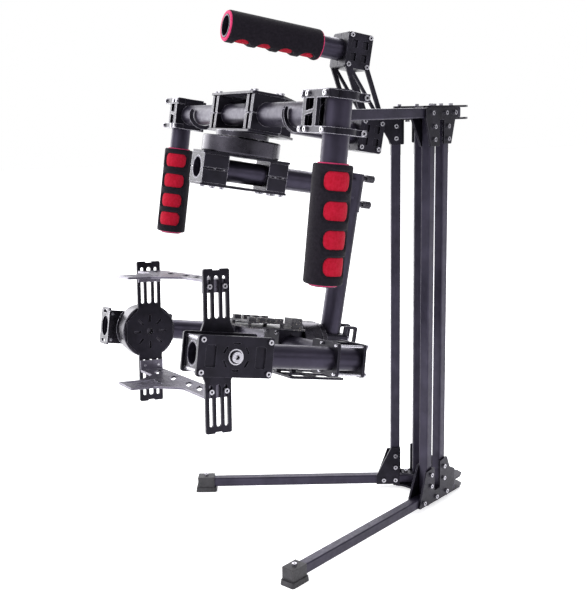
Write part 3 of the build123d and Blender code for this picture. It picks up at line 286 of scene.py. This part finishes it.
def bearing_steel():
    """Two ground races with a darker shield between them, round the pitch axis."""
    s = Surface("bearing_steel", (0.46, 0.45, 0.49), 0.22, 1.0)
    s.tint(s.noise(900, 4), (0.42, 0.41, 0.45), (0.60, 0.59, 0.64))
    node = frame["nodes"]["pitch_bearings"]
    to_node = node.matrix_world.inverted()
    centre = to_node @ Vector(JOINTS["pitch_turn"]["pos_m"])
    axis = (to_node.to_3x3() @ Vector(JOINTS["pitch_turn"]["axis"])).normalized()
    away = s.nodes.new("ShaderNodeVectorMath")
    away.operation = "SUBTRACT"
    away.inputs[1].default_value = centre
    s.links.new(s.where.outputs["Object"], away.inputs[0])
    across = s.nodes.new("ShaderNodeVectorMath")
    across.operation = "CROSS_PRODUCT"
    across.inputs[1].default_value = axis
    s.links.new(away.outputs["Vector"], across.inputs[0])
    radius = s.nodes.new("ShaderNodeVectorMath")
    radius.operation = "LENGTH"
    s.links.new(across.outputs["Vector"], radius.inputs[0])
    distance = radius.outputs["Value"]
    shield = s.nodes.new("ShaderNodeMath")
    shield.operation = "MULTIPLY"
    s.links.new(s.spread(distance, 0, 1, *SHIELD_INSIDE), shield.inputs[0])
    s.links.new(s.spread(distance, 1, 0, *SHIELD_OUTSIDE), shield.inputs[1])
    s.over(shield.outputs["Value"], (0.035, 0.033, 0.040))
    s.vary_roughness(s.noise(1500, 4), 0.16, 0.30)
    return s.material


def motor_shell():
    """Dark turned shell with fine turning marks and a painted highlight on its rims."""
    s = Surface("motor_shell", (0.05, 0.047, 0.058), 0.3, 0.95)
    s.tint(s.noise(60, 3), (0.046, 0.043, 0.054), (0.062, 0.058, 0.070))
    # painted highlight on the rims
    s.painted_edge_highlight(0.0012, (0.55, 0.54, 0.60), 0.02, 0.25)
    s.vary_roughness(s.noise(120, 3), 0.24, 0.32)
    s.bump(s.noise(900, 2), 0.000002, 0.3, 0.0006)
    return s.material


def black_plastic():
    """Moulded feet."""
    s = Surface("black_plastic", (0.02, 0.019, 0.022), 0.55)
    s.tint(s.noise(120, 4), (0.016, 0.015, 0.018), (0.030, 0.028, 0.033))
    s.vary_roughness(s.noise(700, 4), 0.48, 0.66)
    s.bump(s.noise(2600, 4), 0.00004, 0.7, 0.0006)
    return s.material


def circuit():
    """Dark lacquered board and connector plastic, with a sprinkle of solder."""
    s = Surface("circuit", (0.03, 0.028, 0.036), 0.4)
    s.tint(s.noise(160, 3), (0.018, 0.017, 0.026), (0.055, 0.05, 0.062))
    s.over(s.spread(s.noise(800, 2), 0, 1, 0.66, 0.70), (0.55, 0.50, 0.42))
    s.vary_roughness(s.noise(900, 3), 0.30, 0.5)
    s.bump(s.noise(1200, 3), 0.0001, 0.6, 0.0003)
    return s.material


def knob_metal():
    """Black knurled thumbscrew."""
    s = Surface("knob_metal", (0.03, 0.028, 0.034), 0.34, 0.7)
    s.tint(s.noise(200, 4), (0.022, 0.021, 0.026), (0.05, 0.046, 0.056))
    # painted highlight on the edges
    s.painted_edge_highlight(0.0004, (0.35, 0.34, 0.4))
    s.vary_roughness(s.noise(900, 4), 0.26, 0.42)
    s.bump(s.noise(2600, 2), 0.00003, 0.6, 0.0003)
    return s.material


def foam(name, dark, light, sheen):
    """Closed-cell foam: pores, soft mottling and a little sheen."""
    s = Surface(name, dark, 0.85)
    s.tint(s.noise(380, 6), dark, light)
    s.vary_roughness(s.noise(700, 4), 0.74, 0.94)
    s.bump(s.cells(3200), 0.00009, 0.45)
    s.shader.inputs["Specular IOR Level"].default_value = 0.12
    s.shader.inputs["Sheen Weight"].default_value = sheen
    s.shader.inputs["Sheen Roughness"].default_value = 0.5
    return s.material


black_foam = foam("black_foam", (0.0065, 0.0050, 0.0085), (0.011, 0.0085, 0.0135), 0.03)
red_foam = foam("red_foam", (0.33, 0.003, 0.016), (0.40, 0.007, 0.028), 0.03)
pale_foam = foam("pale_red_foam", (0.50, 0.02, 0.10), (0.62, 0.05, 0.16), 0.1)

BY_SLOT = {
    "stand_tube": stand_paint(),
    "round_tube": round_tube(),
    "black_alloy": black_alloy("black_alloy", 0.0006, (0.09, 0.085, 0.11)),
    # machined_alloy is black alloy with a brighter painted highlight on its edges
    "machined_alloy": black_alloy("machined_alloy", 0.0009, (0.62, 0.60, 0.68)),
    "bearing": bearing_steel(),
    "grey_alloy": grey_alloy(),
    "steel": bright_steel(),
    "motor": motor_shell(),
    "foot_plastic": black_plastic(),
    "electronics": circuit(),
    "knob": knob_metal(),
    "foam": black_foam,
}

# nodes whose finish differs a little from their slot's
OTHER_FINISH = {
    "height_clamp": "round_tube",
    "yoke_clamps": "machined_alloy",
    "handle_clamp_right": "machined_alloy",
    "handle_clamp_left": "machined_alloy",
    "yaw_clamps": "machined_alloy",
    "cradles": "machined_alloy",
    "arm_blocks": "machined_alloy",
    "pitch_bearings": "bearing",
}


def dress_nodes():
    """Each CAD node wears its slot's material, or the finish named for it above."""
    for row in frame["record"]["subparts"]:
        node = frame["nodes"][row["node"]]
        finish = OTHER_FINISH.get(row["node"], row["material_slot"])
        for place in node.material_slots:
            place.material = BY_SLOT[finish]


# ---------------------------------------------------------------- mesh helpers
def piece(name, vertices, faces, material, body):
    """A smooth-shaded foam piece that rides on a body."""
    mesh = bpy.data.meshes.new(name)
    mesh.from_pydata([tuple(v) for v in vertices], [], faces)
    mesh.materials.append(material)
    for face in mesh.polygons:
        face.use_smooth = True
    mesh.update()
    thing = bpy.data.objects.new(name, mesh)
    bpy.context.scene.collection.objects.link(thing)
    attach(thing, body)
    return thing


def ring_faces(rows, columns):
    """Quads of a grid that closes round its columns and round its rows."""
    faces = []
    for i in range(rows):
        for j in range(columns):
            a = i * columns + j
            b = i * columns + (j + 1) % columns
            c = ((i + 1) % rows) * columns + (j + 1) % columns
            d = ((i + 1) % rows) * columns + j
            faces.append((a, b, c, d))
    return faces


def on_handle(axes, x, radius, angle, z):
    """A point round a handle's axis."""
    return axes @ Vector((x + radius * math.cos(angle), radius * math.sin(angle), z))


def on_top_handle(radius, angle, y):
    """A point round the top handle's axis; angle 0 is straight down."""
    across = radius * math.sin(angle)
    height = TOP_GRIP_Z - radius * math.cos(angle)
    return yoke @ Vector((across, y, height))


def smooth_step(value):
    """0 below 0, 1 above 1, and a smooth rise between them."""
    value = min(max(value, 0.0), 1.0)
    return value * value * (3 - 2 * value)


def window_distance(arc, along, half_arc, half_along):
    """Signed distance to a rounded rectangle on the unrolled grip, negative inside."""
    dx = abs(arc) - (half_arc - WINDOW_CORNER)
    dy = abs(along) - (half_along - WINDOW_CORNER)
    outside = math.hypot(max(dx, 0), max(dy, 0))
    return outside + min(max(dx, dy), 0) - WINDOW_CORNER


class Grip:
    """A two-layer foam grip: a red core and a black cover with four scooped windows."""

    def __init__(self, name, node, place, length, radii, windows, half_window, scoop):
        self.name = name
        self.node = node
        self.place = place
        self.length = length
        self.radius, self.core, self.rim_radius = radii
        self.windows = windows
        self.half_arc, self.half_along = half_window
        self.scoop = scoop

    def depth(self, angle, along):
        """How far the surface is scooped out at a place."""
        deepest = 0.0
        for middle_angle, middle in self.windows:
            turn = (angle - middle_angle + math.pi) % (2 * math.pi) - math.pi
            near = window_distance(
                turn * self.radius, along - middle, self.half_arc, self.half_along
            )
            deepest = max(deepest, smooth_step(-near / WINDOW_EDGE + 0.5))
        return deepest * self.scoop

    def cover(self):
        """The black cover, with rounded ends and the windows pressed in."""
        inner = self.core - 0.0002
        scooped_from = self.core + 0.001        # nothing nearer the tube is scooped
        end = self.length - RIM
        corner = []                             # radius, and distance in from an end
        for n in range(END_STEPS):
            turn = n * END_TURN
            radius = self.radius - END_ROUND * (1 - math.sin(turn))
            corner.append((radius, END_ROUND * (1 - math.cos(turn))))
        rows = [(inner, RIM), (self.core + LAP, RIM)]
        rows += [(radius, RIM + reach) for radius, reach in corner]
        start = RIM + END_ROUND
        run = self.length - 2 * start
        for n in range(1, COVER_STEPS):
            rows.append((self.radius, start + run * n / COVER_STEPS))
        rows += [(radius, end - reach) for radius, reach in reversed(corner)]
        rows += [(self.core + LAP, end), (inner, end)]
        vertices = []
        for radius, along in rows:
            for j in range(COVER_COLUMNS):
                angle = 2 * math.pi * j / COVER_COLUMNS
                depth = self.depth(angle, along) if radius > scooped_from else 0.0
                vertices.append(self.place(radius - depth, angle, along))
        faces = ring_faces(len(rows), COVER_COLUMNS)
        return piece(self.name, vertices, faces, black_foam, "handlebar")

    def core_ring(self, label, along, outwards):
        """The red core's end, a rounded ring round the tube."""
        inner = TUBE_R + 0.00008
        outer = self.rim_radius
        middle = (inner + outer) / 2
        half = (outer - inner) / 2
        section = []
        for n in range(RIM_STEPS + 1):
            turn = math.pi * n / RIM_STEPS
            reach = -RIM_BULGE * (1 - math.sin(turn))
            section.append((middle + half * math.cos(turn), reach))
        section += [(inner, -RIM_DEPTH), (outer, -RIM_DEPTH)]
        vertices = []
        for radius, reach in section:
            for j in range(RIM_COLUMNS):
                angle = 2 * math.pi * j / RIM_COLUMNS
                vertices.append(self.place(radius, angle, along + outwards * reach))
        faces = ring_faces(len(section), RIM_COLUMNS)
        piece(f"{self.name}_{label}", vertices, faces, pale_foam, "handlebar")

    def window(self, number, middle_angle, middle):
        """One red window: a soft pillow that lies in the scoop and tucks under its rim."""
        vertices = []
        for i in range(WINDOW_RINGS + 1):
            share = i / WINDOW_RINGS
            tuck = 0.0014 * smooth_step((share - 0.86) / 0.14)
            swell = 0.0006 * (1 - share * share)
            radius = self.radius - self.scoop * 0.80 - tuck + swell
            for j in range(WINDOW_COLUMNS):
                turn = 2 * math.pi * j / WINDOW_COLUMNS
                x, y = rounded_outline(turn, self.half_arc, self.half_along)
                angle = middle_angle + x * share / self.radius
                vertices.append(self.place(radius, angle, middle + y * share))
        faces = []
        for i in range(WINDOW_RINGS):
            for j in range(WINDOW_COLUMNS):
                a = i * WINDOW_COLUMNS + j
                b = i * WINDOW_COLUMNS + (j + 1) % WINDOW_COLUMNS
                faces.append((a, b, b + WINDOW_COLUMNS, a + WINDOW_COLUMNS))
        name = f"{self.name}_window_{number}"
        piece(name, vertices, faces, red_foam, "handlebar")

    def build(self):
        """The cover, the core's two ends and the windows."""
        body = self.cover()
        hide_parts(self.node)
        self.core_ring("rim_start", 0.0, -1)
        self.core_ring("rim_end", self.length, 1)
        for number, (angle, along) in enumerate(self.windows, 1):
            self.window(number, angle, along)


def rounded_outline(turn, half_x, half_y):
    """A point of a window's outline in the direction of an angle."""
    dx = math.cos(turn)
    dy = math.sin(turn)
    low, high = 0.0, half_x + half_y
    for _ in range(26):         # halvings, down to well under a micrometre
        reach = (low + high) / 2
        if window_distance(reach * dx, reach * dy, half_x, half_y) < 0:
            low = reach
        else:
            high = reach
    return low * dx, low * dy


def side_grip(name, node, axes, x, angles, half_arc):
    """A handle's grip, with its windows on a slightly twisted line."""
    first, last = angles
    windows = []
    for n, along in enumerate(WINDOW_PLACES):
        angle = math.radians(first + (last - first) * n / (WINDOWS - 1))
        windows.append((angle, along))

    def place(radius, angle, along):
        return on_handle(axes, x, radius, angle, GRIP_TOP - along)

    grip = Grip(
        name, node, place, GRIP_LENGTH, (GRIP_R, GRIP_CORE_R, GRIP_RIM_R),
        windows, (half_arc, WINDOW_HALF_ALONG), GRIP_SCOOP,
    )
    grip.build()


def top_grip():
    """The top handle's grip, with its windows in finger grooves underneath."""
    windows = [(0.0, TOP_WINDOW_FIRST + TOP_WINDOW_SPACING * n) for n in range(WINDOWS)]

    def place(radius, angle, along):
        return on_top_handle(radius, angle, TOP_GRIP_START + along)

    grip = Grip(
        "top_grip_foam", "top_grip", place, TOP_GRIP_LENGTH,
        (TOP_GRIP_R, TOP_GRIP_CORE_R, TOP_GRIP_RIM_R),
        windows, (TOP_HALF_ARC, TOP_HALF_ALONG), TOP_GRIP_SCOOP,
    )
    grip.build()


# ---------------------------------------------------------------- stage
FLOOR_REACH = 8.0
FLOOR_GLOW = 0.62               # the floor's own light, so that it renders nearly white
BACKDROP = 1.0
DIM_SIDE = (0.86, 0.44, -0.25)  # the direction in which the room is darkest
ROOM_BRIGHT = 1.25
ROOM_DIM = 0.18
FADE_START = -0.4               # along the dim side
FADE_END = 0.8
LIGHTS = (                      # name, place, size and power
    ("front", (-1.75, -0.9, 0.75), 1.6, 24),
    ("key", (0.3, -1.7, 1.5), 1.0, 14),
    ("side", (1.9, 0.9, 1.3), 0.9, 9),
    ("back", (-1.3, 0.9, 1.6), 1.2, 20),
)
CAMERA_PLACE = (0.9999, -0.4652, 0.5021)
CAMERA_HEADING = math.radians(65.68)
CAMERA_DOWN = math.radians(11.28)
CAMERA_ROLL = math.radians(-1.10)
CAMERA_LENS = 56.8              # on a 36 mm sensor


def pale_floor():
    """A plain pale floor that glows a little."""
    floor_mesh = bpy.data.meshes.new("floor")
    r = FLOOR_REACH
    corners = [(-r, -r, 0), (r, -r, 0), (r, r, 0), (-r, r, 0)]
    floor_mesh.from_pydata(corners, [], [(0, 1, 2, 3)])
    floor = bpy.data.objects.new("floor", floor_mesh)
    bpy.context.scene.collection.objects.link(floor)
    s = Surface("floor_paper", (0.93, 0.93, 0.94), 0.9)
    s.tint(s.noise(3, 2), (0.92, 0.92, 0.93), (0.95, 0.95, 0.955))
    s.shader.inputs["Emission Color"].default_value = (1.0, 1.0, 1.0, 1)
    s.shader.inputs["Emission Strength"].default_value = FLOOR_GLOW
    floor_mesh.materials.append(s.material)


def room():
    """Soft light from all round, and a white backdrop."""
    bpy.context.scene.view_settings.view_transform = "Standard"
    world = bpy.data.worlds.new("studio")
    bpy.context.scene.world = world
    world.use_nodes = True
    nodes = world.node_tree.nodes
    links = world.node_tree.links
    ambient = nodes["Background"]
    ambient.inputs["Color"].default_value = (0.97, 0.965, 1.0, 1)
    # the light is bright in front and on the rig's left, and dim behind its right side
    direction = nodes.new("ShaderNodeTexCoord")
    towards = nodes.new("ShaderNodeVectorMath")
    towards.operation = "DOT_PRODUCT"
    towards.inputs[1].default_value = DIM_SIDE
    links.new(direction.outputs["Generated"], towards.inputs[0])
    fade = nodes.new("ShaderNodeMapRange")
    fade.interpolation_type = "SMOOTHSTEP"
    fade.inputs["From Min"].default_value = FADE_START
    fade.inputs["From Max"].default_value = FADE_END
    fade.inputs["To Min"].default_value = ROOM_BRIGHT
    fade.inputs["To Max"].default_value = ROOM_DIM
    links.new(towards.outputs["Value"], fade.inputs["Value"])
    links.new(fade.outputs["Result"], ambient.inputs["Strength"])
    # what the camera itself sees of it is plain white
    backdrop = nodes.new("ShaderNodeBackground")
    backdrop.inputs["Color"].default_value = (1.0, 1.0, 1.0, 1)
    backdrop.inputs["Strength"].default_value = BACKDROP
    seen = nodes.new("ShaderNodeLightPath")
    either = nodes.new("ShaderNodeMixShader")
    links.new(seen.outputs["Is Camera Ray"], either.inputs["Fac"])
    links.new(ambient.outputs["Background"], either.inputs[1])
    links.new(backdrop.outputs["Background"], either.inputs[2])
    links.new(either.outputs["Shader"], nodes["World Output"].inputs["Surface"])


def soft_lights():
    """Area lights that face the middle of the object."""
    middle = (cad_box[0] + cad_box[1]) / 2
    for name, place, size, power in LIGHTS:
        light = bpy.data.lights.new(name, "AREA")
        light.size = size
        light.energy = power
        lamp = bpy.data.objects.new(name, light)
        lamp.location = place
        away = middle - Vector(place)
        lamp.rotation_euler = away.to_track_quat("-Z", "Y").to_euler()
        bpy.context.scene.collection.objects.link(lamp)


def camera():
    """The camera: in front of the rig's right side, just above the stand's arms."""
    heading = CAMERA_HEADING
    roll = CAMERA_ROLL
    level = Vector((-math.sin(heading), math.cos(heading), 0))
    ahead = level * math.cos(CAMERA_DOWN) - Vector((0, 0, math.sin(CAMERA_DOWN)))
    right = Vector((math.cos(heading), math.sin(heading), 0))
    up = right.cross(ahead)
    tilted_right = right * math.cos(roll) + up * math.sin(roll)
    tilted_up = up * math.cos(roll) - right * math.sin(roll)
    turn = Matrix((tilted_right, tilted_up, -ahead)).transposed().to_4x4()
    data = bpy.data.cameras.new("camera")
    data.sensor_width = 36
    data.lens = CAMERA_LENS
    data.clip_start = 0.01
    thing = bpy.data.objects.new("camera", data)
    thing.matrix_world = Matrix.Translation(CAMERA_PLACE) @ turn
    bpy.context.scene.collection.objects.link(thing)
    bpy.context.scene.camera = thing


dress_nodes()
side_grip(
    "grip_right_foam", "grip_right", right_handle, HANDLE_X, RIGHT_ANGLES, RIGHT_HALF_ARC
)
side_grip(
    "grip_left_foam", "grip_left", left_handle, -HANDLE_X, LEFT_ANGLES, LEFT_HALF_ARC
)
top_grip()
pale_floor()
room()
soft_lights()
camera()
